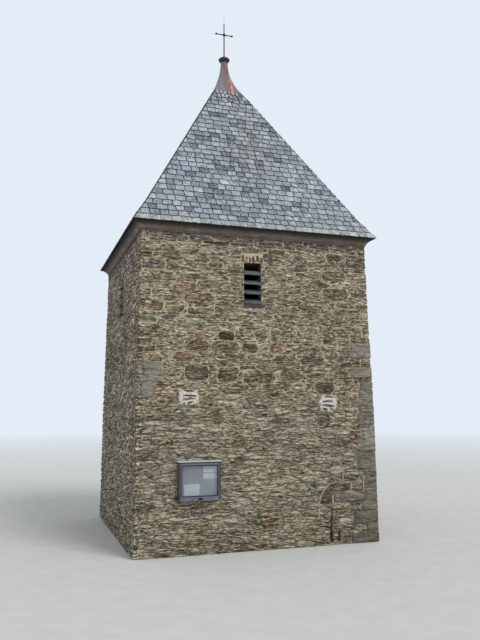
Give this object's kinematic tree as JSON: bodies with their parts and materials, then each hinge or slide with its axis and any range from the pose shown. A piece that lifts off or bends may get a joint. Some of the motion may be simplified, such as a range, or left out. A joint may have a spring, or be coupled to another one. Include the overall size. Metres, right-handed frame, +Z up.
{
  "type": "detached church bell tower",
  "caption": "Square rubble-stone church bell tower with louvred openings, a steep slated pyramid roof, a flared metal cap with an iron cross, and a glazed notice case on its front wall.",
  "frame": {"origin": "middle of the tower's square base, at ground level", "axes": "+Z up, -Y out of the front wall that carries the notice case, -X out of the left wall"},
  "size_m": [5.234, 5.2639, 12.52],
  "materials": {
    "rubble_masonry": "rough rubble in lime mortar",
    "flagstone": "worn stone",
    "floor_timber": "rough sawn",
    "louvre_slate": "riven slate",
    "roof_slate": "riven slate",
    "eaves_timber": "weathered paint",
    "granite": "punched granite",
    "door_oak": "weathered planks",
    "wrought_iron": "rusted black",
    "spike_metal": "dull grey",
    "cap_copper": "weathered brown sheet",
    "batten_timber": "rough sawn",
    "case_aluminium": "satin anodised",
    "pinboard": "matt grey lilac",
    "case_glass": "clear",
    "pin_steel": "bright",
    "lock_black": "satin black"
  },
  "bodies": {
    "tower": {"front_wall": "rubble_masonry", "back_wall": "rubble_masonry", "left_wall": "rubble_masonry", "right_wall": "rubble_masonry", "ground_floor": "flagstone", "belfry_joists": "floor_timber", "belfry_floor": "floor_timber", "front_louvres": "louvre_slate", "front_sill": "louvre_slate", "roof_slope_front": "roof_slate", "eaves_cove_front": "eaves_timber", "right_louvres": "louvre_slate", "right_sill": "louvre_slate", "roof_slope_right": "roof_slate", "eaves_cove_right": "eaves_timber", "back_louvres": "louvre_slate", "back_sill": "louvre_slate", "roof_slope_back": "roof_slate", "eaves_cove_back": "eaves_timber", "left_louvres": "louvre_slate", "left_sill": "louvre_slate", "roof_slope_left": "roof_slate", "eaves_cove_left": "eaves_timber", "door_surround": "granite", "entrance_step": "granite", "entrance_door": "door_oak", "door_straps": "wrought_iron", "door_ring": "wrought_iron", "cross_upright": "wrought_iron", "cross_arms": "wrought_iron", "cross_spike": "spike_metal", "copper_cap": "cap_copper", "finial_knob": "cap_copper", "notice_battens": "batten_timber", "notice_back": "case_aluminium", "notice_cheek_left": "case_aluminium", "notice_cheek_right": "case_aluminium", "notice_top": "case_aluminium", "notice_bottom": "case_aluminium", "notice_hood": "case_aluminium", "notice_pinboard": "pinboard"},
    "notice_door": {"notice_door_frame": "case_aluminium", "notice_glass": "case_glass", "notice_hinge_pins": "pin_steel", "notice_lock": "lock_black"}
  },
  "joints": [
    {"name": "notice_door_hinge", "type": "hinge", "parent": "tower", "child": "notice_door", "pos_m": [-1.285, -2.6144, 1.679], "axis": [-1, 0, 0], "range_deg": [0, 90]}
  ]
}
